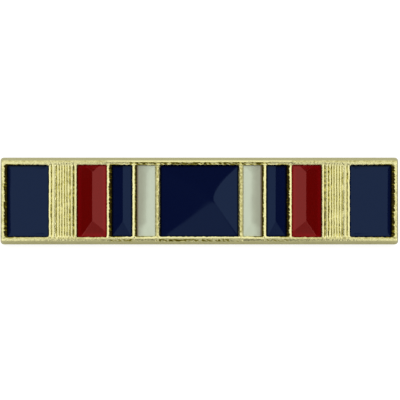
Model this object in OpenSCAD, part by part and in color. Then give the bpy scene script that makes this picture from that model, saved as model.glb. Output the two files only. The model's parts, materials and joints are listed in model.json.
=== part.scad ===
// Medal lapel pin: a die-struck, gold-plated bar with nine enamel cells, two ribbed
// gold fields and a plain post on its back.
// It is modelled flat, with its back on the XZ plane and its face towards -Y, and
// then set down as it rests by itself: on its lower back edge and the post's tip.

/* [Bar] */
// Length of the bar
bar_w = 22.2; // [21.8:0.1:24]
// Height of the bar
bar_h = 4.85; // [4.6:0.05:5.2]
// Thickness of the bar, from its back to the top of its rim
bar_t = 1.2; // [1.1:0.05:1.5]
// Radius of the bar's corners, seen from the front
corner_r = 0.2; // [0.1:0.05:0.3]
// Metal left under the enamel
floor_t = 0.65; // [0.5:0.05:0.8]
// Rim above the cells, shoulder included
top_rim_w = 0.425; // [0.3:0.025:0.5]
// Rim below the cells, shoulder included
bottom_rim_w = 0.45; // [0.3:0.05:0.5]

/* [Shoulder] */
// Width of the sloped shoulder above the rim
top_shoulder_w = 0.17; // [0.05:0.01:0.2]
// Width of the sloped shoulder below the rim
bottom_shoulder_w = 0.18; // [0.05:0.01:0.2]
// Width of the sloped shoulder at the two ends
end_shoulder_w = 0.08; // [0.05:0.01:0.2]
// Distance that the shoulder runs back from the face
shoulder_t = 0.4; // [0.2:0.05:0.6]

/* [Cells] */
// Width of the navy cell in the middle
centre_w = 4.35; // [4:0.05:4.6]
// Width of each white cell
white_w = 1.04; // [0.8:0.01:1.1]
// Width of each narrow navy cell
blue_w = 1.11; // [0.9:0.01:1.2]
// Width of each red cell
red_w = 1.63; // [1.4:0.01:1.7]
// Width of each navy cell at the ends
navy_w = 2.33; // [2:0.01:2.35]
// Wall between the middle cell and the white cells
centre_wall_w = 0.27; // [0.2:0.01:0.35]
// Wall between the white and the narrow navy cells
white_wall_w = 0.27; // [0.2:0.01:0.35]
// Wall between the narrow navy and the red cells
blue_wall_w = 0.31; // [0.2:0.01:0.35]
// Width that the walls and the rim lose on each side above the enamel
wall_flare = 0.08; // [0.04:0.01:0.09]

/* [Ribbed fields] */
// Width of each ribbed gold field
ribbed_w = 1.57; // [1.5:0.01:1.6]
// Width of a groove
groove_w = 0.08; // [0.05:0.01:0.1]
// Depth of a groove
groove_d = 0.07; // [0.04:0.01:0.1]
// Length that a groove runs on into the rim
groove_run = 0.08; // [0:0.02:0.14]

/* [Enamel] */
// Height of the rim above the edge of the enamel
rim_rise = 0.12; // [0.08:0.01:0.2]
// Depth of the hollow in the enamel
dish_d = 0.05; // [0.02:0.01:0.08]
// Gap between the enamel and the metal round it
enamel_gap = 0.02; // [0.01:0.01:0.03]
// Distance from the middle to the lowest point of the middle cell's enamel
centre_low_x = 0.77; // [-1:0.01:1]

/* [Post] */
// Length of the post, from the bar's back to its tip
post_l = 8; // [7:0.5:10]
// Radius of the post
post_r = 0.55; // [0.45:0.05:0.6]
// Length of the pointed tip
tip_l = 0.9; // [0.6:0.1:1.2]
// Radius of the blunt end of the tip
tip_r = 0.12; // [0.08:0.02:0.2]
// Radius of the pad that joins the post to the bar
pad_r = 1.6; // [1.2:0.1:2]
// Thickness of the pad
pad_t = 0.3; // [0.2:0.05:0.4]
// Gap between the pad and the bar's back
pad_gap = 0.02; // [0.01:0.01:0.03]

/* [Hidden] */
$fn = 64;

GOLD = "#d9cf8c";
NAVY = "#1e2947";
RED = "#7a1f1c";
WHITE = "#c2cab2";

// Where the cells start and end in height, and the enamel's height at their edge
cell_top = bar_h / 2 - top_rim_w;
cell_bottom = -bar_h / 2 + bottom_rim_w;
cell_h = cell_top - cell_bottom;
fill_t = bar_t - rim_rise;
over = 0.1;

// Grooves of a ribbed field, as the distance from its outer edge to each groove
GROOVES = [0.14, 0.425, 0.575, 0.72, 0.87, 1.01, 1.175, 1.38];

// Stripes from the middle outwards. OUTSIDE is the width of the metal that follows.
WIDTH = 0;
OUTSIDE = 1;
TINT = 2;
STRIPES = [[white_w, white_wall_w, WHITE],
           [blue_w, blue_wall_w, NAVY],
           [red_w, ribbed_w, RED],
           [navy_w, 0, NAVY]];
WHITE_STRIPE = 0;
BLUE_STRIPE = 1;
RED_STRIPE = 2;
NAVY_STRIPE = 3;

// Distance from the bar's middle to a stripe's near side and far side
function near_x(i) = i == 0 ? centre_w / 2 + centre_wall_w
                            : far_x(i - 1) + STRIPES[i - 1][OUTSIDE];
function far_x(i) = near_x(i) + STRIPES[i][WIDTH];

// Rest pose: the lower back edge and the end of the post's straight part touch the floor
lean = atan((bar_h / 2 - post_r) / (post_l - tip_l));
rest_back = post_l * cos(lean) + tip_r * sin(lean);
rest_front = -bar_t * cos(lean) - (bar_h / 2 - bottom_shoulder_w) * sin(lean);
rest_lift = bar_h / 2 * cos(lean);

module at_rest() {
    translate([0, -(rest_back + rest_front) / 2, rest_lift]) rotate([-lean, 0, 0]) children();
}

// An outline drawn in X and Z, made solid from depth y0 to depth y1 in front of the back
module through_y(y0, y1) {
    translate([0, -y0, 0]) rotate([90, 0, 0]) linear_extrude(y1 - y0) children();
}

// An outline drawn in Y and Z, made solid along the bar
module along_x(x0, x1) {
    translate([x0, 0, 0]) rotate([90, 0, 90]) linear_extrude(x1 - x0) children();
}

// An outline drawn in X and Y, made solid over the bar's height
module along_z(z0, z1) {
    translate([0, 0, z0]) linear_extrude(z1 - z0) children();
}

module rounded_outline(w, h, r) {
    square([w - 2 * r, h], center = true);
    square([w, h - 2 * r], center = true);
    for (x = [-1, 1], z = [-1, 1])
        translate([x * (w / 2 - r), z * (h / 2 - r)]) circle(r);
}

// The blank before its cells are struck: rounded corners and a sloped shoulder all round
module blank() {
    back = bar_t - shoulder_t;
    intersection() {
        through_y(0, bar_t) rounded_outline(bar_w, bar_h, corner_r);
        along_x(-bar_w, bar_w)
            polygon([[0, -bar_h / 2], [0, bar_h / 2], [-back, bar_h / 2],
                     [-bar_t, bar_h / 2 - top_shoulder_w],
                     [-bar_t, -bar_h / 2 + bottom_shoulder_w], [-back, -bar_h / 2]]);
        along_z(-bar_h, bar_h)
            polygon([[-bar_w / 2, 0], [bar_w / 2, 0], [bar_w / 2, -back],
                     [bar_w / 2 - end_shoulder_w, -bar_t],
                     [-bar_w / 2 + end_shoulder_w, -bar_t], [-bar_w / 2, -back]]);
    }
}

// A cell between two stations: straight sides round the enamel, flared above it
module cell(x0, x1) {
    spread = wall_flare * (rim_rise + over) / rim_rise;
    top = bar_t + over;
    intersection() {
        along_z(-bar_h, bar_h)
            polygon([[x0, -floor_t], [x1, -floor_t], [x1, -fill_t], [x1 + spread, -top],
                     [x0 - spread, -top], [x0, -fill_t]]);
        along_x(-bar_w, bar_w)
            polygon([[-floor_t, cell_bottom], [-floor_t, cell_top], [-fill_t, cell_top],
                     [-top, cell_top + spread], [-top, cell_bottom - spread],
                     [-fill_t, cell_bottom]]);
    }
}

// The V grooves of the ribbed field on the right
module grooves() {
    half = groove_w / 2 * (groove_d + over) / groove_d;
    for (g = GROOVES)
        translate([near_x(NAVY_STRIPE) - g, 0, 0])
            along_z(cell_bottom - groove_run, cell_top + groove_run)
                polygon([[0, -bar_t + groove_d], [half, -bar_t - over], [-half, -bar_t - over]]);
}

// Bar: one struck solid with its floor, rim, walls and ribbed fields
module bar() {
    color(GOLD) at_rest() difference() {
        blank();
        cell(-centre_w / 2, centre_w / 2);
        for (side = [0, 1]) mirror([side, 0, 0]) {
            for (i = [0 : len(STRIPES) - 1]) cell(near_x(i), far_x(i));
            grooves();
        }
    }
}

// Enamel fill of a cell. Its top falls from the cell's edges to low_x in straight
// facets, and is at its full depth at end_run from the cell's two ends.
module fill(x0, x1, low_x, end_run) {
    low_y = -fill_t + dish_d;
    z0 = cell_bottom + enamel_gap;
    z1 = cell_top - enamel_gap;
    difference() {
        translate([x0 + enamel_gap, -fill_t, z0])
            cube([x1 - x0 - 2 * enamel_gap, fill_t - floor_t - enamel_gap, z1 - z0]);
        intersection() {
            along_z(-bar_h, bar_h)
                polygon([[x0 + enamel_gap, -fill_t], [low_x, low_y], [x1 - enamel_gap, -fill_t],
                         [x1, -fill_t - over], [x0, -fill_t - over]]);
            along_x(-bar_w, bar_w)
                polygon([[-fill_t, z0], [low_y, z0 + end_run], [low_y, z1 - end_run],
                         [-fill_t, z1], [-fill_t - over, z1 + over],
                         [-fill_t - over, z0 - over]]);
        }
    }
}

// A hollow too flat to have facets: the end cells are filled level
module level_fill(x0, x1) {
    translate([x0 + enamel_gap, -fill_t, cell_bottom + enamel_gap])
        cube([x1 - x0 - 2 * enamel_gap, fill_t - floor_t - enamel_gap, cell_h - 2 * enamel_gap]);
}

module enamel_centre() {
    color(NAVY) at_rest()
        fill(-centre_w / 2, centre_w / 2, centre_low_x, cell_h / 2 - 2 * enamel_gap);
}

// Enamel of stripe i on one side: side is 1 on the left and 0 on the right
module enamel(i, side) {
    x0 = near_x(i);
    x1 = far_x(i);
    color(STRIPES[i][TINT]) at_rest() mirror([side, 0, 0]) {
        if (i == NAVY_STRIPE) level_fill(x0, x1);
        else fill(x0, x1, (x0 + x1) / 2, (x1 - x0) / 2);
    }
}

// Post: pad, straight nail and blunt cone, turned as one piece
module post() {
    color(GOLD) at_rest()
        translate([0, pad_gap, 0]) rotate([-90, 0, 0]) rotate_extrude()
            polygon([[0, 0], [pad_r, 0], [pad_r, pad_t], [post_r, pad_t],
                     [post_r, post_l - tip_l - pad_gap], [tip_r, post_l - pad_gap],
                     [0, post_l - pad_gap]]);
}

bar();
enamel_centre();  // enamel_navy_centre
enamel(WHITE_STRIPE, 1);  // enamel_white_left
enamel(BLUE_STRIPE, 1);  // enamel_blue_left
enamel(RED_STRIPE, 1);  // enamel_red_left
enamel(NAVY_STRIPE, 1);  // enamel_navy_left
enamel(WHITE_STRIPE, 0);  // enamel_white_right
enamel(BLUE_STRIPE, 0);  // enamel_blue_right
enamel(RED_STRIPE, 0);  // enamel_red_right
enamel(NAVY_STRIPE, 0);  // enamel_navy_right
post();
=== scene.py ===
import json
import math
from collections import namedtuple

import bmesh
import bpy
from mathutils import Matrix, Vector, noise


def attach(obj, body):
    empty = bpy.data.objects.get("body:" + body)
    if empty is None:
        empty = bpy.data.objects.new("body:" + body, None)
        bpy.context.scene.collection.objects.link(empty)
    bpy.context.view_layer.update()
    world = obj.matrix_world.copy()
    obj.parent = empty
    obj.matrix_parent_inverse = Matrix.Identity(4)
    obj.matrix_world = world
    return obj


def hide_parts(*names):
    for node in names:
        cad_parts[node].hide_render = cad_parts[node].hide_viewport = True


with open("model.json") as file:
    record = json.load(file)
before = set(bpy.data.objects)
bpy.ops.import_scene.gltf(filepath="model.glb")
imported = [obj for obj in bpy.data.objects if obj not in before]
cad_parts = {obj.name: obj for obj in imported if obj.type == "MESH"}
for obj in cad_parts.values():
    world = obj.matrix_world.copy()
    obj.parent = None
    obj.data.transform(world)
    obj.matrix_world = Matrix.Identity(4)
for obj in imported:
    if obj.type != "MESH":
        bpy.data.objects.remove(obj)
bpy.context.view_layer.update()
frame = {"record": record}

# Rest pose and camera
# The pin lies by itself, leaning back on its lower back edge and the end of its post.
# Every piece is modelled flat, with the bar's back on the XZ plane and its face
# towards -Y, and is then leaned back with its mesh. The camera faces the enamel squarely.
MM = 0.001
BAR_W = 22.2 * MM
BAR_T = 1.2 * MM
SHOULDER_T = 0.4 * MM  # from the face back to the bar's widest outline
SHANK_MIDDLE = 3.71 * MM  # from the bar's back to the middle of the post's straight part
PHOTO_SIDE = 400  # the photograph is square, in pixels
PHOTO_BAR_W = 397.8  # the bar's length in the photograph, in pixels
PHOTO_BAR_X = 199.3  # the bar's middle in the photograph, in pixels
PHOTO_BAR_Y = 201.0
VIEW_DISTANCE = 160 * MM
SENSOR_W = 36  # in millimetres, as the lens is

shank = frame["record"]["mounts"][0]
shank_axis = Vector(shank["axis"])
lean = math.atan2(-shank_axis.z, shank_axis.y)
bar_back = Vector(shank["pos_m"]) - shank_axis * SHANK_MIDDLE
at_rest = Matrix.Translation(bar_back) @ Matrix.Rotation(-lean, 4, "X")

pixel = BAR_W / PHOTO_BAR_W
eye_x = (PHOTO_SIDE / 2 - PHOTO_BAR_X) * pixel
eye_z = (PHOTO_BAR_Y - PHOTO_SIDE / 2) * pixel
eye = Matrix.Translation((eye_x, -BAR_T - VIEW_DISTANCE, eye_z))
camera_data = bpy.data.cameras.new("camera")
camera_data.sensor_width = SENSOR_W
camera_data.lens = SENSOR_W * (VIEW_DISTANCE + SHOULDER_T) / (PHOTO_SIDE * pixel)
camera_data.clip_start = 10 * MM
camera = bpy.data.objects.new("camera", camera_data)
camera.matrix_world = at_rest @ eye @ Matrix.Rotation(math.radians(90), 4, "X")
bpy.context.collection.objects.link(camera)
bpy.context.scene.camera = camera
bpy.context.scene.view_settings.view_transform = "Standard"

# Struck bar
# One piece of brass, struck in a die: a rim, upright walls between the cells and two
# ribbed fields stand above the sunk cells. The walls' flanks towards the bar's middle
# keep the rough tool marks and are darkened, partly by polishing dirt and partly by
# painted shade. The whole is gold-plated.
BAR_H = 4.85 * MM
FLOOR_T = 0.65 * MM
CORNER_R = 0.2 * MM
TOP_RIM_W = 0.425 * MM
BOTTOM_RIM_W = 0.45 * MM
CELL_TOP = BAR_H / 2 - TOP_RIM_W
CELL_BOTTOM = -BAR_H / 2 + BOTTOM_RIM_W
LOW_EDGE = 0.03 * MM  # the bottom edges of the red and the end cells lie lower by this
HIGH_EDGE = 0.013 * MM  # the top edge of the middle cell lies higher by this
COLUMN_STEP = 0.055 * MM  # widest mesh face along the bar
ROW_STEP = 0.04 * MM  # widest mesh face over its height
UPRIGHT_W = 0.006 * MM  # width of a wall's almost upright lowest part

# The shoulder round the rim, which slopes back from the face
TOP_SHOULDER_W = 0.17 * MM
BOTTOM_SHOULDER_W = 0.18 * MM
END_SHOULDER_W = 0.10 * MM
SHOULDER_RISE = 0.965
END_RISE = 0.985
END_DIRT = 0.32
END_DIRT_LOSS = 0.06  # from the inner to the outer edge of the end's shoulder

# Half of the bar from its middle outwards. The wall inside a cell falls towards it over
# a gentle slope and a steep side. Outside the cell a dark flank rises to the next
# metal. The dull and dirt fields say how dark these are, partly by dirt and partly by
# painted shade, and corner_r rounds the cell's corners.
Side = namedtuple("Side", "slope_w steep_w dull dirt corner_r")
Flank = namedtuple("Flank", "width dirt corner_r")
Cell = namedtuple("Cell", "width side flank metal_w")
CENTRE_HALF_W = 2.175 * MM
CENTRE_WALL_W = 0.27 * MM
CENTRE_FLANK = Flank(0.105 * MM, 0.25, 0.07 * MM)
CENTRE_FLANK_IN = 0.015 * MM  # the middle cell's flanks start this far inside its edges
FLANK_SWAY = 0.3  # of the flank's width
CORNER_EASE = 0.4  # share of a corner's rounding that is lost over the flank
CELLS = {
    "white": Cell(
        width=1.04 * MM,
        side=Side(0.05 * MM, 0.11 * MM, 0.36, 0.2, 0.05 * MM),
        flank=Flank(0.104 * MM, 0.75, 0.06 * MM),
        metal_w=0.27 * MM,
    ),
    "blue": Cell(
        width=1.11 * MM,
        side=Side(0.09 * MM, 0.05 * MM, 0.12, 0.0, 0.06 * MM),
        flank=Flank(0.156 * MM, 1.0, 0.06 * MM),
        metal_w=0.31 * MM,
    ),
    "red": Cell(
        width=1.63 * MM,
        side=Side(0.08 * MM, 0.05 * MM, 0.12, 0.0, 0.06 * MM),
        flank=Flank(0.03 * MM, 0.4, 0.06 * MM),
        metal_w=1.57 * MM,
    ),
    "navy": Cell(
        width=2.33 * MM,
        side=Side(0.06 * MM, 0.01 * MM, 0.12, 0.0, 0.14 * MM),
        flank=Flank(0.17 * MM, 0.93, 0.16 * MM),
        metal_w=0.395 * MM,
    ),
}

# Grooves of the ribbed field outside the red cell, with their distance from the field's
# outer edge, their depth as a share of the usual one, and how dark they are, by dirt and
# painted shade
Groove = namedtuple("Groove", "place depth dirt")
GROOVES = [
    Groove(0.14 * MM, 1.0, 0.58),
    Groove(0.425 * MM, 1.0, 0.48),
    Groove(0.575 * MM, 1.0, 0.44),
    Groove(0.72 * MM, 1.0, 0.47),
    Groove(0.87 * MM, 1.0, 0.42),
    Groove(1.01 * MM, 1.05, 0.55),
    Groove(1.175 * MM, 1.1, 0.57),
    Groove(1.38 * MM, 1.3, 0.88),
]
GROOVE_D = 0.05 * MM
GROOVE_HALF_W = 0.05 * MM
RIB_RISE = 0.99
CREST_MIN_W = 0.09 * MM  # a rib wider than this has a crest of its own
CREST_PLACE = 0.3  # of the way from the last groove's edge to the next groove's middle
FIELD_SWAY = 0.008 * MM
FIELD_INNER = 6.8 * MM  # the walls lie inside this
FIELD_FROM = 6.85 * MM  # the field without the flank beside it
FIELD_TO = 8.372 * MM

# Sections of the rim above and below the cells, from the enamel to the shoulder.
# Columns: share of the width, share of the rise, rise lost where worn, specks
TOP_SECTION = [
    (0.00, 0.80, 0.0, 0.2),
    (0.04, 0.94, 0.0, 0.5),
    (0.10, 0.985, 0.02, 0.7),
    (0.19, 0.997, 0.06, 0.8),
    (0.27, 1.00, 0.10, 1.0),
    (0.40, 1.00, 0.09, 1.0),
    (0.52, 1.00, 0.06, 1.0),
    (0.60, 1.00, 0.02, 0.7),
    (0.66, 1.00, 0.0, 0.0),
    (0.84, 0.993, 0.0, 0.0),
    (1.00, 0.965, 0.0, 0.0),
]
BOTTOM_SECTION = [
    (0.00, 0.80, 0.0, 0.0),
    (0.03, 0.92, 0.0, 0.0),
    (0.12, 0.965, 0.0, 0.0),
    (0.28, 0.983, 0.0, 0.0),
    (0.45, 1.00, 0.0, 0.0),
    (0.54, 1.00, 0.01, 0.6),
    (0.68, 1.00, 0.03, 0.9),
    (0.82, 1.00, 0.05, 1.0),
    (0.94, 0.995, 0.05, 1.0),
    (1.00, 0.985, 0.04, 0.8),
]

# Wear of the rim above and below the cells: zones, as (share, fully up to, none from) in
# mm from the bar's middle, contrast of the specks, and how dark they are
Wear = namedtuple("Wear", "zones contrast dirt")
TOP_WEAR = Wear([(0.62, 3.75, 4.0), (0.33, 4.8, 5.3)], 3.2, 0.8)
BOTTOM_WEAR = Wear([(0.28, 3.7, 3.9), (0.47, 4.9, 5.3), (0.13, 8.3, 8.8)], 3.4, 0.85)
WHOLE_FROM = 2.4 * MM  # the rim below the white cells is nearly whole
WHOLE_TO = 3.6 * MM
WHOLE_WEAR = 0.09
SPECK_MIDDLE = 0.65  # strength of a speck where the noise is 0
WALL_SPECKS = 0.25  # share of the specks where a wall meets the rim
RIM_DULL = 0.28  # dirt on the smooth parts of the rim, from the red cells outwards

# Distances past the cells' ends, in mm, between which these fade out. The shift of an
# edge fades to both sides of it.
FLANK_FADE = (0.0, 0.10)
WALL_FADE = (0.08, 0.16)
GROOVE_FADE = (-0.08, 0.10)
CORNER_FADE = (0.02, 0.10)
RAGGED_FADE = (0.03, 0.12)
SHIFT_FADE = (0.02, 0.2)
# Distances from the bar's middle, in mm, between which these set in or end
LOW_EDGE_X = (4.95, 5.15)
HIGH_EDGE_X = (2.2, 2.35)
RIM_DULL_X = (4.7, 5.2)

# Length along the bar and height of the rough patterns, and their depths
TOOTH_H = 0.075 * MM
TOOTH_LEAN = 0.15  # shift from one mesh column to the next, in teeth
TOOTH_CHANGE = 0.2  # from one mesh column to the next, where 1 is another tooth
TOOTH_SHARE = 1.4  # share of the teeth in a flank's sway
SLOW_SHARE = 0.5  # share of the slow wave in it
DIRT_CHANGE = 0.8  # how far the teeth change a flank's darkness from dirt and painted shade
GROOVE_CHANGE = 0.25  # how far the slow wave changes a groove's depth
FIELD_WAVE = (0.6 * MM, 0.3 * MM)
SLOW_WAVE = (0.9 * MM, 0.5 * MM)
GROOVE_WAVE = (0.3 * MM, 0.14 * MM)
SPECK_SIZE = (0.13 * MM, 0.1 * MM)
SPECK_D = 0.014 * MM
GRAIN_SIZE = (0.10 * MM, 0.10 * MM)
GRAIN_D = 0.004 * MM
RAGGED_L = 0.17 * MM
RAGGED_D = 0.032 * MM
BOTTOM_UP = 0.002 * MM  # the ragged edges below the cells lie higher by this

# Stations of the bar's mesh. A column has the rise of the wall there, its darkness from
# dirt and painted shade, how far its teeth sway, the depth of a groove, the drop of the
# end's shoulder, and how far it moves outwards where a cell's corners are rounded. A row
# is one of a section.
Column = namedtuple("Column", "x rise dirt sway groove drop corner", defaults=(0.0,) * 6)
Row = namedtuple("Row", "z rise worn specks drop", defaults=(0.0,) * 4)


def fill_steps(stations, step):
    """Adds stations in between wherever two neighbours lie further apart than step."""
    filled = [stations[0]]
    for station in stations[1:]:
        last = filled[-1]
        count = math.ceil((station[0] - last[0]) / step - 1e-6)
        for k in range(1, count):
            share = k / count
            filled.append(tuple(a + (b - a) * share for a, b in zip(last, station)))
        filled.append(station)
    return filled


def flank_columns(x, flank):
    """Rough flank, darkened by dirt and painted shade, that rises outwards from a cell's outer
    edge at x.
    """
    columns = [Column(x - UPRIGHT_W, dirt=flank.dirt, corner=-flank.corner_r)]
    # Painted shade and dirt: the flank is darkest near its foot.
    for share, rise, dirt, sway in (
        (0.0, 0.70, 1.0, 0.0),
        (0.3, 0.80, 1.0, 0.3),
        (0.6, 0.88, 1.0, 0.7),
        (0.85, 0.94, 0.9, 1.0),
        (1.0, 0.98, 0.5, 1.0),
        (1.15, 1.0, 0.0, 0.8),
    ):
        sway_here = sway * FLANK_SWAY * flank.width
        corner = -flank.corner_r * (1 - CORNER_EASE * share)
        place = x + share * flank.width
        columns.append(Column(place, rise, flank.dirt * dirt, sway_here, corner=corner))
    return columns


def side_columns(x, side):
    """Gentle slope and steep side that fall outwards to a cell's inner edge at x."""
    slope_foot = x - side.steep_w
    columns = []
    for place, rise, dirt, sway, corner in (
        (slope_foot - side.slope_w, 0.996, side.dull, 0.014, 0.5),
        (slope_foot - 0.6 * side.slope_w, 0.987, side.dull, 0.014, 0.6),
        (slope_foot, 0.96, side.dull, 0.014, 0.7),
        (x - 0.5 * side.steep_w, 0.90, side.dirt, 0.010, 0.9),
        (x, 0.80, side.dirt, 0.0, 1.0),
        (x + UPRIGHT_W, 0.0, 0.0, 0.0, 1.0),
    ):
        columns.append(Column(place, rise, dirt, sway * MM, corner=corner * side.corner_r))
    return columns


def field_columns(inner_x, outer_x):
    """Grooves of a ribbed field, and the crests of the wider ribs between them."""
    columns = []
    last_x = inner_x
    for groove in reversed(GROOVES):
        middle = outer_x - groove.place
        if middle - last_x > CREST_MIN_W:
            crest = CREST_PLACE * middle + (1 - CREST_PLACE) * last_x
            columns.append(Column(crest, 1.0, sway=FIELD_SWAY))
        for share, depth in ((-1, 0), (-0.5, 0.5), (0, 1), (0.5, 0.5), (1, 0)):
            place = middle + share * GROOVE_HALF_W
            # Painted shade and dirt: a groove darkens with its depth.
            dirt = depth * groove.dirt
            columns.append(Column(place, RIB_RISE, dirt, FIELD_SWAY, depth * groove.depth))
        last_x = columns[-1].x
    return columns


def end_columns():
    """The rim at the bar's end and its shoulder."""
    shoulder = BAR_W / 2 - END_SHOULDER_W
    columns = [
        Column(BAR_W / 2 - CORNER_R, 1.0, 0.1, 0.01 * MM),
        Column(shoulder - 0.03 * MM, 0.995, 0.3),
    ]
    for share, drop in ((0.0, 0.03), (0.25, 0.22), (0.5, 0.46), (0.7, 0.66), (0.88, 0.86), (1, 1)):
        place = shoulder + share * END_SHOULDER_W
        dirt = END_DIRT - END_DIRT_LOSS * share
        columns.append(Column(place, END_RISE, dirt, drop=drop))
    return columns


def bar_columns():
    """Mesh columns along the bar, from its left to its right end."""
    half = [Column(0.0)]
    half += flank_columns(CENTRE_HALF_W - CENTRE_FLANK_IN, CENTRE_FLANK)
    x = CENTRE_HALF_W + CENTRE_WALL_W
    for name, cell in CELLS.items():
        half += side_columns(x, cell.side)
        x += cell.width
        half += flank_columns(x, cell.flank)
        x += cell.metal_w
        if name == "red":
            half += field_columns(half[-1].x, x)
    half += end_columns()
    half = [Column(*station) for station in fill_steps(half, COLUMN_STEP)]
    return [column._replace(x=-column.x) for column in reversed(half[1:])] + half


def rim_rows(rim_w, shoulder_w, section):
    """Mesh rows from a cell's end outwards, over the rim and its shoulder."""
    cell_edge = BAR_H / 2 - rim_w
    flat_w = rim_w - shoulder_w
    insets = (0.12 * MM, 0.08 * MM, 0.05 * MM, 0.025 * MM, UPRIGHT_W)
    rows = [Row(cell_edge - inset) for inset in insets]
    for share, rise, worn, specks in section:
        rows.append(Row(cell_edge + share * flat_w, rise, worn, specks))
    for share, drop in ((0.12, 0.10), (0.4, 0.38), (0.7, 0.68), (1.0, 1.0)):
        rows.append(Row(cell_edge + flat_w + share * shoulder_w, SHOULDER_RISE, drop=drop))
    return rows


def bar_rows():
    """Mesh rows over the bar's height, from its lower to its upper edge."""
    bottom = rim_rows(BOTTOM_RIM_W, BOTTOM_SHOULDER_W, BOTTOM_SECTION)
    top = rim_rows(TOP_RIM_W, TOP_SHOULDER_W, TOP_SECTION)
    rows = [row._replace(z=-row.z) for row in reversed(bottom)] + top
    return [Row(*station) for station in fill_steps(rows, ROW_STEP)]


def clamp(value):
    """The value, held between 0 and 1."""
    return max(0.0, min(1.0, value))


def fade(value, full, none):
    """1 up to full, 0 from none on, and a straight line between."""
    return clamp((none - value) / (none - full))


def ripple(seed, along, up):
    """Smooth noise between -1 and 1, with another pattern for each seed."""
    return noise.noise(Vector((along, seed, up)))


def corner_squeeze(x):
    """Share of the bar's height left at x by its rounded corners."""
    beyond = abs(x) - (BAR_W / 2 - CORNER_R)
    if beyond <= 0:
        return 1.0
    beyond = min(beyond, CORNER_R)
    return 1.0 - (CORNER_R - math.sqrt(CORNER_R**2 - beyond**2)) / (BAR_H / 2)


def corner_rounding(beyond, corner_r):
    """Share of a cell's corner radius by which its side moves in, near the cell's end."""
    straight = min(1.0, max(0.0, -beyond * MM) / max(abs(corner_r), 0.001 * MM))
    return (1 - math.sqrt(1 - (1 - straight) ** 2)) * fade(beyond, *CORNER_FADE)


def edge_shift(x, z):
    """How far a cell's end lies higher at the middle cell, or lower at the outer ones."""
    low = LOW_EDGE * fade(abs(z - CELL_BOTTOM) / MM, *SHIFT_FADE)
    low *= 1 - fade(abs(x) / MM, *LOW_EDGE_X)
    high = HIGH_EDGE * fade(abs(z - CELL_TOP) / MM, *SHIFT_FADE)
    high *= fade(abs(x) / MM, *HIGH_EDGE_X)
    return high - low


def rim_wear(x, z):
    """How far the rim is worn, from 0 to 1."""
    if z < 0 and WHOLE_FROM < abs(x) < WHOLE_TO:
        return WHOLE_WEAR
    zones = TOP_WEAR.zones if z > 0 else BOTTOM_WEAR.zones
    return sum(share * fade(abs(x) / MM, full, none) for share, full, none in zones)


def close_back(bm, back_y):
    """Walls from the border of a relief back to back_y, closed there by a flat face."""
    border = [e for e in bm.edges if e.is_boundary]
    walls = bmesh.ops.extrude_edge_only(bm, edges=border)["geom"]
    back = [part for part in walls if isinstance(part, bmesh.types.BMVert)]
    for v in back:
        v.co.y = back_y
    bmesh.ops.contextual_create(bm, geom=[e for e in bm.edges if e.is_boundary])
    return back


def finish_piece(bm, name, sharp_angle):
    """Leans a mesh back with the pin and makes it a piece, smooth up to sharp_angle."""
    bmesh.ops.recalc_face_normals(bm, faces=bm.faces[:])
    bmesh.ops.transform(bm, matrix=at_rest, verts=bm.verts[:])
    mesh = bpy.data.meshes.new(name)
    bm.to_mesh(mesh)
    bm.free()
    for polygon in mesh.polygons:
        polygon.use_smooth = True
    mesh.set_sharp_from_angle(angle=math.radians(sharp_angle))
    piece = bpy.data.objects.new(name, mesh)
    bpy.context.collection.objects.link(piece)
    return piece


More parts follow.
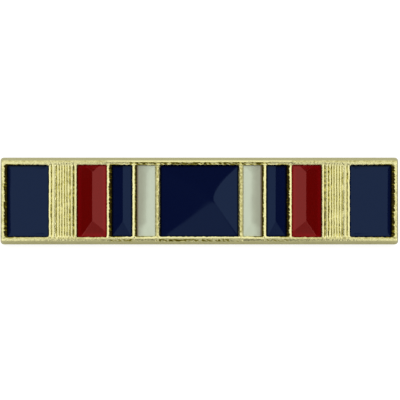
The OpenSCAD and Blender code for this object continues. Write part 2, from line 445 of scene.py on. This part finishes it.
def build_bar():
    """The bar's relief, with the amount of dirt and painted shade at each point in its mesh."""
    columns = bar_columns()
    rows = bar_rows()
    relief = BAR_T - FLOOR_T

    bm = bmesh.new()
    bmesh.ops.create_grid(bm, x_segments=len(columns) - 1, y_segments=len(rows) - 1, size=0.5)
    dirt_and_shade_layer = bm.verts.layers.float.new("dirt")
    for v in bm.verts:
        i = round((v.co.x + 0.5) * (len(columns) - 1))
        column = columns[i]
        row = rows[round((v.co.y + 0.5) * (len(rows) - 1))]
        x, z = column.x, row.z
        outwards = 1 if x > 0 else -1
        beyond = max(z - CELL_TOP, CELL_BOTTOM - z) / MM  # from the cells' ends, outwards
        in_cell = fade(beyond, *FLANK_FADE)

        # Specks, grain and grooves of the face
        wear = TOP_WEAR if z > 0 else BOTTOM_WEAR
        reach = rim_wear(x, z)
        rim_rise = row.rise - row.worn * reach
        speck_place = (x / SPECK_SIZE[0] + z / SPECK_SIZE[1], z / SPECK_SIZE[1], 1.3)
        speck = clamp(SPECK_MIDDLE + wear.contrast * noise.noise(Vector(speck_place)))
        on_wall = column.rise > 0.9 and abs(x) < FIELD_INNER
        speck *= row.specks * reach * (WALL_SPECKS if on_wall else 1.0)
        slow = ripple(9.1, x / SLOW_WAVE[0], z / SLOW_WAVE[1])
        rise = max(column.rise * fade(beyond, *WALL_FADE), rim_rise)
        in_field = fade(beyond, *GROOVE_FADE)
        height = relief * rise - GROOVE_D * column.groove * in_field * (1.0 + GROOVE_CHANGE * slow)
        height -= SPECK_D * speck
        if rise > 0.8 and column.drop < 0.1:
            height += GRAIN_D * (ripple(5.0, x / GRAIN_SIZE[0], z / GRAIN_SIZE[1]) - 0.6)
        height = min(height, relief) - SHOULDER_T * max(column.drop, row.drop)

        # Toothed flanks, ragged edges of the rim and rounded corners of the cells
        if FIELD_FROM < abs(x) < FIELD_TO:
            teeth = ripple(3.7, x / FIELD_WAVE[0], z / FIELD_WAVE[1])
        else:
            teeth = ripple(3.7 + outwards, i * TOOTH_CHANGE, z / TOOTH_H + i * TOOTH_LEAN)
        if beyond > -0.001:
            ragged = ripple(6.1, x / RAGGED_L, 1.0 if z > 0 else 2.0)
            ragged *= RAGGED_D * fade(beyond, *RAGGED_FADE)
            z += ragged if z > 0 else BOTTOM_UP - ragged
        move = column.sway * in_cell * (TOOTH_SHARE * teeth + SLOW_SHARE * slow)
        move += column.corner * corner_rounding(beyond, column.corner)
        z_here = z * corner_squeeze(x) + edge_shift(x, z)
        v.co = Vector((x + outwards * move, -FLOOR_T - height, z_here))

        # Dirt and painted shade on the flanks and in the grooves, dirt in the specks, and the
        # rim's dull outer part
        if column.groove:
            uneven = 0.8 + 0.7 * ripple(2.2, x / GROOVE_WAVE[0], z / GROOVE_WAVE[1])
        else:
            uneven = min(1.0, 1.0 + DIRT_CHANGE * teeth)
        dull = 0.0
        if rim_rise > 0.9 and not row.specks and not row.drop:
            dull = RIM_DULL * (1.0 - fade(abs(x) / MM, *RIM_DULL_X))
        v[dirt_and_shade_layer] = max(column.dirt * uneven * in_cell, speck * wear.dirt, dull)

    for v in close_back(bm, 0.0):
        v[dirt_and_shade_layer] = 0.0
    return finish_piece(bm, "struck_bar", sharp_angle=38)


def feed(tree, node, inputs):
    """Gives each named input of a node a value, or the output that feeds it."""
    for name, value in inputs.items():
        if isinstance(value, bpy.types.NodeSocket):
            tree.links.new(value, node.inputs[name])
        else:
            node.inputs[name].default_value = value


def add_node(tree, kind, inputs=None, **settings):
    """A new node with these inputs and settings."""
    node = tree.nodes.new(kind)
    for name, value in settings.items():
        setattr(node, name, value)
    feed(tree, node, inputs or {})
    return node


def new_material(name):
    """A material with nodes, and the Principled shader in it."""
    material = bpy.data.materials.new(name)
    material.use_nodes = True
    return material, material.node_tree.nodes["Principled BSDF"]


def gold_plating():
    """Polished gold plating, darkened by polishing dirt and painted shade where the mesh says so.
    """
    material, principled = new_material("gold_plate")
    tree = material.node_tree
    place = add_node(tree, "ShaderNodeTexCoord").outputs["Object"]
    blotches = add_node(tree, "ShaderNodeTexNoise", {"Vector": place, "Scale": 900, "Detail": 3})
    specks = add_node(tree, "ShaderNodeTexNoise", {"Vector": place, "Scale": 9000, "Detail": 2})
    plating = add_node(
        tree,
        "ShaderNodeMix",
        {
            "A": (0.93, 0.89, 0.46, 1),
            "B": (0.84, 0.79, 0.38, 1),
            "Factor": blotches.outputs["Fac"],
        },
        data_type="RGBA",
    )

    amount = add_node(tree, "ShaderNodeAttribute", attribute_name="dirt")
    broken = add_node(
        tree,
        "ShaderNodeMath",
        {0: specks.outputs["Fac"], 1: 0.5, 2: amount.outputs["Fac"]},
        operation="MULTIPLY_ADD",
    )
    dirt = add_node(
        tree,
        "ShaderNodeMapRange",
        {"Value": broken.outputs[0], "From Min": 0.4, "From Max": 1.1},
    )
    # The stain darkens the gold by dirt, and by painted shade on the flanks and in the grooves.
    stain_and_shade = add_node(tree, "ShaderNodeValToRGB", {"Fac": dirt.outputs["Result"]})
    stain_and_shade.color_ramp.elements[0].color = (1, 1, 1, 1)
    stain_and_shade.color_ramp.elements[1].color = (0.05, 0.037, 0.012, 1)
    stain_and_shade.color_ramp.elements.new(0.5).color = (0.34, 0.31, 0.05, 1)
    stained_and_shaded = add_node(
        tree,
        "ShaderNodeMix",
        {"A": plating.outputs["Result"], "B": stain_and_shade.outputs["Color"], "Factor": 1.0},
        data_type="RGBA",
        blend_type="MULTIPLY",
    )
    rough = add_node(
        tree,
        "ShaderNodeMapRange",
        {"Value": dirt.outputs["Result"], "To Min": 0.22, "To Max": 0.5},
    )
    bump = add_node(
        tree,
        "ShaderNodeBump",
        {"Height": specks.outputs["Fac"], "Strength": 0.2, "Distance": 0.02 * MM},
    )
    feed(
        tree,
        principled,
        {
            "Base Color": stained_and_shaded.outputs["Result"],
            "Metallic": 1.0,
            "Roughness": rough.outputs["Result"],
            "Normal": bump.outputs["Normal"],
        },
    )
    return material


gold = gold_plating()
bar = build_bar()
bar.data.materials.append(gold)
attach(bar, "root")
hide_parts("bar")

# Enamel fills
# Nine cells filled with coloured enamel a little below the walls. Each fill shrank as
# it cured, so its top is a shallow hollow with soft creases, and its edge is rounded.
RIM_RISE = 0.12 * MM  # from a fill's edge up to the face
EDGE_GAP = 0.006 * MM
EDGE_ROUND = 0.02 * MM
EDGE_PLACES = (0.0, 0.12, 0.3, 0.6, 1.0, 1.5)  # mesh rows near an edge, in EDGE_ROUND
FILL_STEP = 0.03 * MM
FILL_FOOT = 0.02 * MM  # gap between a fill and the floor of its cell
# Painted light: how much lighter a fill's lower end is, as (share, fully up to, none from)
# in mm
LOW_LIGHTS = [(0.14, 0.0, 1.4), (0.16, 0.45, 0.75)]
RIM_SHADE = 0.7  # a distance below the upper rim counts for this much of one from a flank

# A fill's top falls from its left, right, bottom and top edge, and reaches the depth of
# the hollow after that edge's run. A power above 1 makes a fall steepest at its edge.
# The right and the bottom fall meet with the first of the two creases, and the others
# with the second. Top_sunk is the share of the depth that the top edge already has,
# skew sinks the bottom's outer corner further, and top_lit lightens the rim's shade.
Hollow = namedtuple("Hollow", "depth creases runs powers top_sunk skew top_lit")
EVEN_FALLS = (1, 1, 1, 1)
BOTTOM_RUN = 0.92 * MM
CENTRE_LOW_X = 0.72 * MM  # from the bar's middle to the middle cell's lowest point


def side_runs(kind, low_shift, top_run):
    """Runs of a right-hand fill. Its lowest line lies low_shift from its middle, towards
    the bar's middle."""
    inner_run = CELLS[kind].width / 2 - low_shift
    return (inner_run, CELLS[kind].width - inner_run, BOTTOM_RUN, top_run)


CENTRE_HOLLOW = Hollow(
    depth=0.14 * MM,
    creases=(0.003 * MM, 0.010 * MM),
    runs=(CENTRE_HALF_W + CENTRE_LOW_X, CENTRE_HALF_W - CENTRE_LOW_X, 2.05 * MM, 1.95 * MM),
    powers=(1, 1, 1, 1.6),
    top_sunk=0.0,
    skew=0.0,
    top_lit=0.0,
)
HOLLOWS = {
    "white": Hollow(
        depth=0.035 * MM,
        creases=(0.0015 * MM, 0.0015 * MM),
        runs=side_runs("white", 0.0, 0.47 * MM),
        powers=EVEN_FALLS,
        top_sunk=0.0,
        skew=0.0,
        top_lit=0.06 * MM,
    ),
    "blue": Hollow(
        depth=0.040 * MM,
        creases=(0.0015 * MM, 0.0015 * MM),
        runs=side_runs("blue", 0.06 * MM, 0.02 * MM),
        powers=EVEN_FALLS,
        top_sunk=0.0,
        skew=0.0,
        top_lit=0.0,
    ),
    "red": Hollow(
        depth=0.057 * MM,
        creases=(0.0006 * MM, 0.0006 * MM),
        runs=side_runs("red", 0.04 * MM, 0.40 * MM),
        powers=EVEN_FALLS,
        top_sunk=0.45,
        skew=0.36,
        top_lit=0.06 * MM,
    ),
    "navy": Hollow(
        depth=0.03 * MM,
        creases=(0.0015 * MM, 0.0015 * MM),
        runs=(0.35 * MM, 0.35 * MM, 0.35 * MM, 0.35 * MM),
        powers=(2, 2, 2, 2),
        top_sunk=0.0,
        skew=0.0,
        top_lit=0.0,
    ),
}


def soft_least(values, crease):
    """The least value, blended where two values differ by less than about crease."""
    return -crease * math.log(sum(math.exp(-v / crease) for v in values))


def edge_stations(low, high):
    """Places across a fill, close together in its rounded edges."""
    near = [(low + share * EDGE_ROUND,) for share in EDGE_PLACES]
    far = [(high - share * EDGE_ROUND,) for share in reversed(EDGE_PLACES)]
    return [place for (place,) in fill_steps(near + far, FILL_STEP)]


def hollow_depth(insets, hollow, outer):
    """How far a fill's top is sunk at these distances from its left, right, bottom and
    top edge. Outer is the index of the edge on the outer side of the cell."""
    shares = [inset / run for inset, run in zip(insets, hollow.runs)]
    facets = [
        share if power == 1 else 1 - max(0.0, 1 - share) ** power
        for share, power in zip(shares, hollow.powers)
    ]
    facets[2] -= hollow.skew * (shares[outer] - 1)
    facets[3] = hollow.top_sunk + (1 - hollow.top_sunk) * facets[3]
    left_fall, right_fall, bottom_fall, top_fall = (hollow.depth * f for f in facets)
    sunk = soft_least((right_fall, bottom_fall), hollow.creases[0])
    sunk = soft_least((left_fall, top_fall, sunk), hollow.creases[1])
    if min(insets) < EDGE_ROUND:
        past_round = 1 - min(insets) / EDGE_ROUND
        sunk += EDGE_ROUND * (1 - math.sqrt(max(0.0, 1 - past_round**2)))
    return sunk


def build_fill(name, x0, x1, hollow):
    """One fill between x0 and x1. Its mesh holds the distance from its edge, the share of
    the way in from its outer side, raised at its lower end as painted light, and the
    distance from what shades it, in mm."""
    left, right = x0 + EDGE_GAP, x1 - EDGE_GAP
    bottom = CELL_BOTTOM + EDGE_GAP - (LOW_EDGE if max(x0, -x1) > 5 * MM else 0)
    top = CELL_TOP - EDGE_GAP + (HIGH_EDGE if x0 < 0 < x1 else 0)
    xs = edge_stations(left, right)
    zs = edge_stations(bottom, top)
    level = BAR_T - RIM_RISE
    at_flanks = [k for k, is_outer in enumerate((x0 < 0, x1 > 0)) if is_outer]

    bm = bmesh.new()
    bmesh.ops.create_grid(bm, x_segments=len(xs) - 1, y_segments=len(zs) - 1, size=0.5)
    inset_layer = bm.verts.layers.float.new("inset")
    inward_layer = bm.verts.layers.float.new("inward")
    shade_layer = bm.verts.layers.float.new("shade")
    for v in bm.verts:
        x = xs[round((v.co.x + 0.5) * (len(xs) - 1))]
        z = zs[round((v.co.y + 0.5) * (len(zs) - 1))]
        insets = (x - left, right - x, z - bottom, top - z)
        sunk = hollow_depth(insets, hollow, outer=at_flanks[0])
        v.co = Vector((x, -(level - sunk), z))
        v[inset_layer] = min(insets) / MM
        # Painted light: the lower end takes more of the lit inner tint.
        light = sum(share * fade(insets[2] / MM, full, none) for share, full, none in LOW_LIGHTS)
        v[inward_layer] = insets[at_flanks[0]] / (right - left) + light
        from_rim = RIM_SHADE * insets[3] + hollow.top_lit
        v[shade_layer] = min(from_rim, *(insets[k] for k in at_flanks)) / MM
    close_back(bm, -FLOOR_T - FILL_FOOT)
    return finish_piece(bm, name, sharp_angle=50)


CLOUD_SHARE = 0.3  # how far the blend across a fill is broken up


def enamel_group():
    """Shader group for cured enamel, with painted light and shade in its tint. The tint runs
    from outer to inner across the cell, which paints shade on the outer side of the white
    fill. Along the cell's edges it takes a painted shading, darker on the navy and lighter
    on the red, and near the flank and below the upper rim a painted shadow."""
    group = bpy.data.node_groups.new("cured_enamel", "ShaderNodeTree")
    for name in ("Outer Shaded Tint", "Inner Lit Tint", "Edge Tint", "Flank Shadow Tint"):
        group.interface.new_socket(name, in_out="INPUT", socket_type="NodeSocketColor")
    for name in ("Blend From", "Blend To", "Edge Width"):
        group.interface.new_socket(name, in_out="INPUT", socket_type="NodeSocketFloat")
    group.interface.new_socket("Tint", in_out="OUTPUT", socket_type="NodeSocketColor")
    group.interface.new_socket("Roughness", in_out="OUTPUT", socket_type="NodeSocketFloat")
    given = add_node(group, "NodeGroupInput").outputs

    def soft_mask(value, start, end):
        """0 up to start, 1 from end on, with a soft step between."""
        inputs = {"Value": value, "From Min": start, "From Max": end}
        step = add_node(group, "ShaderNodeMapRange", inputs, interpolation_type="SMOOTHSTEP")
        return step.outputs["Result"]

    def mixed(first, second, share):
        """The first tint at 0 and the second at 1."""
        inputs = {"A": first, "B": second, "Factor": share}
        return add_node(group, "ShaderNodeMix", inputs, data_type="RGBA").outputs["Result"]

    def from_mesh(name):
        """What the mesh holds under this name."""
        return add_node(group, "ShaderNodeAttribute", attribute_name=name).outputs["Fac"]

    place = add_node(group, "ShaderNodeTexCoord").outputs["Object"]
    cloud = add_node(group, "ShaderNodeTexNoise", {"Vector": place, "Scale": 1200, "Detail": 3})
    across = add_node(
        group,
        "ShaderNodeMath",
        {0: cloud.outputs["Fac"], 1: CLOUD_SHARE, 2: from_mesh("inward")},
        operation="MULTIPLY_ADD",
    )
    # Painted shade: across the cell the tint runs from the shaded outer tint to the lit inner one.
    blend = soft_mask(across.outputs[0], given["Blend From"], given["Blend To"])
    tint = mixed(given["Outer Shaded Tint"], given["Inner Lit Tint"], blend)
    # Painted shading along the cell's edges: darker on the navy, lighter on the red.
    off_edge_shading = soft_mask(from_mesh("inset"), 0.0, given["Edge Width"])
    tint = mixed(given["Edge Tint"], tint, off_edge_shading)
    # Painted shadow: the tint darkens near the flank and below the upper rim.
    off_flank_shadow = soft_mask(from_mesh("shade"), 0.02, 0.12)
    tint = mixed(given["Flank Shadow Tint"], tint, off_flank_shadow)
    rough = add_node(
        group,
        "ShaderNodeMapRange",
        {"Value": cloud.outputs["Fac"], "To Min": 0.05, "To Max": 0.08},
    )
    add_node(group, "NodeGroupOutput", {"Tint": tint, "Roughness": rough.outputs["Result"]})
    return group


cured_enamel = enamel_group()


# Outer and inner are the tints of a fill's shaded outer and lit inner side, which differ for the
# white enamel as painted shade. Edge is a painted shading along the edges, and flank a painted
# shadow by the flank and below the upper rim.
def enamel(name, outer, inner, blend, edge, edge_w, flank, shine, ior):
    """Cured, glossy enamel, which is less glossy in its rounded edge."""
    material, principled = new_material(name)
    tree = material.node_tree
    tints = add_node(
        tree,
        "ShaderNodeGroup",
        {
            "Outer Shaded Tint": (*outer, 1),
            "Inner Lit Tint": (*inner, 1),
            "Edge Tint": (*edge, 1),
            "Flank Shadow Tint": (*flank, 1),
            "Blend From": blend[0] + CLOUD_SHARE / 2,
            "Blend To": blend[1] + CLOUD_SHARE / 2,
            "Edge Width": edge_w,
        },
        node_tree=cured_enamel,
    )
    inset = add_node(tree, "ShaderNodeAttribute", attribute_name="inset")
    gloss = add_node(
        tree,
        "ShaderNodeMapRange",
        {"Value": inset.outputs["Fac"], "From Max": 0.10, "To Max": 0.5},
        interpolation_type="SMOOTHSTEP",
    )
    feed(
        tree,
        principled,
        {
            "Base Color": tints.outputs["Tint"],
            "Roughness": tints.outputs["Roughness"],
            "IOR": ior,
            "Specular Tint": (*shine, 1),
            "Specular IOR Level": gloss.outputs["Result"],
        },
    )
    return material


navy = enamel(
    "navy_enamel",
    outer=(0.0024, 0.0054, 0.033),
    inner=(0.0024, 0.0054, 0.033),
    blend=(0.4, 0.6),
    edge=(0.001, 0.002, 0.012),
    edge_w=0.07,
    flank=(0.001, 0.0015, 0.006),
    shine=(0.32, 0.54, 0.86),
    ior=1.45,
)
red = enamel(
    "red_enamel",
    outer=(0.14, 0.0012, 0.0008),
    inner=(0.14, 0.0015, 0.0014),
    blend=(0.4, 0.6),
    edge=(0.22, 0.0015, 0.003),
    edge_w=0.3,
    flank=(0.11, 0.003, 0.0008),
    shine=(1, 0.24, 0.21),
    ior=1.9,
)
white = enamel(
    "white_enamel",
    # Painted shade: the white's outer side is darker, shaded by the wall beside it.
    outer=(0.42, 0.44, 0.33),
    inner=(0.63, 0.70, 0.54),
    blend=(0.2, 0.75),
    edge=(0.60, 0.64, 0.48),
    edge_w=0.07,
    flank=(0.20, 0.15, 0.09),
    shine=(1, 1, 1),
    ior=1.5,
)
ENAMELS = {"white": white, "blue": navy, "red": red, "navy": navy}


def finish_fill(fill, node, kind):
    """Gives a fill its enamel, and puts it in its node's place."""
    fill.data.materials.append(ENAMELS[kind])
    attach(fill, "root")
    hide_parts(node)


centre_fill = build_fill("navy_fill_centre", -CENTRE_HALF_W, CENTRE_HALF_W, CENTRE_HOLLOW)
finish_fill(centre_fill, "enamel_navy_centre", "navy")
near = CENTRE_HALF_W + CENTRE_WALL_W
for kind, cell in CELLS.items():
    hollow = HOLLOWS[kind]
    inner_run, outer_run, *end_runs = hollow.runs
    mirrored = hollow._replace(runs=(outer_run, inner_run, *end_runs))
    right_fill = build_fill(f"{kind}_fill_right", near, near + cell.width, hollow)
    left_fill = build_fill(f"{kind}_fill_left", -near - cell.width, -near, mirrored)
    finish_fill(right_fill, f"enamel_{kind}_right", kind)
    finish_fill(left_fill, f"enamel_{kind}_left", kind)
    near += cell.width + cell.metal_w

# Post
# A plain brass nail with a round pad, soldered to the middle of the bar's back and
# gold-plated with it.
POST_L = 8.0 * MM
POST_R = 0.55 * MM
PAD_R = 1.6 * MM
PAD_T = 0.3 * MM
PAD_GAP = 0.02 * MM
PAD_ROUND = 0.05 * MM  # on the pad's edge towards the bar
PAD_BEVEL = 0.08 * MM  # on its other edge
TIP_L = 0.9 * MM
TIP_R = 0.12 * MM
POST_STEPS = 48

# Half section of the post, as (radius, distance from the bar's back). A fillet leads
# from the pad to the nail, and the tip is blunt.
pad_back = PAD_GAP + PAD_T
POST_SECTION = [
    (0.0, PAD_GAP),
    (PAD_R - PAD_ROUND, PAD_GAP),
    (PAD_R, PAD_GAP + PAD_ROUND),
    (PAD_R, pad_back - PAD_BEVEL),
    (PAD_R - PAD_BEVEL, pad_back),
    (POST_R + 0.30 * MM, pad_back),
    (POST_R + 0.10 * MM, pad_back + 0.05 * MM),
    (POST_R, pad_back + 0.20 * MM),
    (POST_R, POST_L - TIP_L),
    (TIP_R + 0.12 * MM, POST_L - 0.22 * MM),
    (TIP_R, POST_L - 0.05 * MM),
    (0.0, POST_L),
]
bm = bmesh.new()
section = [bm.verts.new((radius, y, 0.0)) for radius, y in POST_SECTION]
edges = [bm.edges.new(pair) for pair in zip(section, section[1:])]
bmesh.ops.spin(
    bm,
    geom=section + edges,
    cent=(0, 0, 0),
    axis=(0, 1, 0),
    angle=math.tau,
    steps=POST_STEPS,
    use_merge=True,
    use_duplicate=False,
)
bmesh.ops.remove_doubles(bm, verts=bm.verts[:], dist=0.001 * MM)
post = finish_piece(bm, "soldered_post", sharp_angle=40)
post.data.materials.append(gold)
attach(post, "root")
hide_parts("post")

# Stage
# A pale floor in a white tent, with cards in front of the pin that show only in
# reflections: a dark opening for the lens, with a soft upper edge and one low corner,
# grey cards above and below it, and a dark flap of the tent behind these.
CARD_DISTANCE = 60 * MM
LENS_OUTLINE = [
    (-3.6, -30),
    (6.9, -30),
    (6.9, -3.4),
    (7.4, -2.6),
    (7.4, -1.4),
    (7.2, 0.2),
    (6.4, 1.3),
    (5.0, 2.3),
    (3.4, 3.2),
    (2.0, 3.6),
    (0.0, 3.7),
    (-1.8, 3.4),
    (-3.1, 2.9),
    (-3.6, 2.2),
]
SOFT_EDGE = [*LENS_OUTLINE[8:11], (0.0, 5.4), (2.0, 5.4), (3.4, 5.4)]
GREY = 0.56


def oblong(half_w, low, high):
    """Corners of a card that reaches half_w to both sides of the bar's middle."""
    return [(-half_w, low), (half_w, low), (half_w, high), (-half_w, high)]


def card(name, outline, brightness, behind):
    """A flat card, drawn in X and Z in mm, this many mm further from the pin than the lens
    card. Its brightness is one number, or one for each corner with a blend between."""
    bm = bmesh.new()
    glow_layer = bm.verts.layers.float.new("glow")
    y = -BAR_T - (CARD_DISTANCE + behind * MM)
    bm.faces.new([bm.verts.new((x * MM, y, z * MM)) for x, z in outline])
    levels = brightness if isinstance(brightness, list) else [brightness] * len(outline)
    for v, level in zip(bm.verts, levels):
        v[glow_layer] = level
    bmesh.ops.transform(bm, matrix=at_rest, verts=bm.verts[:])
    mesh = bpy.data.meshes.new(name)
    bm.to_mesh(mesh)
    bm.free()
    sheet = bpy.data.objects.new(name, mesh)
    bpy.context.collection.objects.link(sheet)
    material = bpy.data.materials.new(name)
    material.use_nodes = True
    tree = material.node_tree
    level = add_node(tree, "ShaderNodeAttribute", attribute_name="glow")
    glow = add_node(tree, "ShaderNodeEmission", {"Strength": level.outputs["Fac"]})
    feed(tree, tree.nodes["Material Output"], {"Surface": glow.outputs[0]})
    mesh.materials.append(material)
    sheet.visible_camera = False
    sheet.visible_diffuse = False
    sheet.visible_shadow = False
    sheet.visible_transmission = False


card("lens_card", LENS_OUTLINE, 0.0, 0.0)
card("lens_card_edge", SOFT_EDGE, [0.0] * 3 + [GREY] * 3, 0.0)
card("lens_card_corner", [(-7.2, -4.7), (-3.6, -4.7), (-3.6, 0.6)], 0.0, 1.1)
card("grey_card_middle", oblong(7, 1, 10), GREY, 0.5)
card("grey_card_above", oblong(12.5, 4, 10), 0.40, 1.0)
card("grey_card_below", oblong(5.9, -10, -3.2), 0.34, 1.0)
card("grey_card_low", oblong(8.1, -19, -10), 0.7, 1.0)
card("grey_card_side", oblong(8.1, -9, -5), 0.35, 1.2)
card("dark_flap", oblong(12, -24, -4.5), 0.0, 1.5)

FLOOR_HALF_W = 1.5
bm = bmesh.new()
bmesh.ops.create_grid(bm, x_segments=1, y_segments=1, size=FLOOR_HALF_W)
floor_mesh = bpy.data.meshes.new("floor")
bm.to_mesh(floor_mesh)
bm.free()
floor = bpy.data.objects.new("floor", floor_mesh)
bpy.context.collection.objects.link(floor)
floor_paper, paper = new_material("floor_paper")
tree = floor_paper.node_tree
ray = add_node(tree, "ShaderNodeLightPath")
seen = add_node(
    tree,
    "ShaderNodeMapRange",
    {"Value": ray.outputs["Is Camera Ray"], "To Min": 0.25, "To Max": 0.88},
)
feed(
    tree,
    paper,
    {
        "Base Color": (0.3, 0.3, 0.3, 1),
        "Roughness": 0.9,
        "Specular IOR Level": 0.0,
        "Emission Color": (1, 1, 1, 1),
        "Emission Strength": seen.outputs["Result"],
    },
)
floor_mesh.materials.append(floor_paper)

# The tent is dimmer behind the pin, and brighter towards its sides, which end dark. The
# camera itself sees plain white.
world = bpy.data.worlds.new("tent")
bpy.context.scene.world = world
world.use_nodes = True
tree = world.node_tree
direction = add_node(tree, "ShaderNodeTexCoord")
parts = add_node(tree, "ShaderNodeSeparateXYZ", {0: direction.outputs["Generated"]})


def tent_light(value, start, end, after):
    """Brightness 1 up to start, and after from end on."""
    inputs = {"Value": value, "From Min": start, "From Max": end, "To Min": 1.0, "To Max": after}
    return add_node(tree, "ShaderNodeMapRange", inputs).outputs["Result"]


def calculate(operation, *values):
    """The result of a Math node."""
    inputs = dict(enumerate(values))
    return add_node(tree, "ShaderNodeMath", inputs, operation=operation).outputs[0]


sideways = calculate("ABSOLUTE", parts.outputs["X"])
sides = calculate(
    "MULTIPLY",
    tent_light(sideways, 0.35, 0.8, 1.4),
    tent_light(sideways, 0.82, 0.97, 0.35),
)
around = calculate("MULTIPLY", tent_light(parts.outputs["Y"], 0.1, 0.5, 0.5), sides)
ray = add_node(tree, "ShaderNodeLightPath")
brightness = calculate("MAXIMUM", around, ray.outputs["Is Camera Ray"])
feed(tree, tree.nodes["Background"], {"Color": (1, 1, 1, 1), "Strength": brightness})
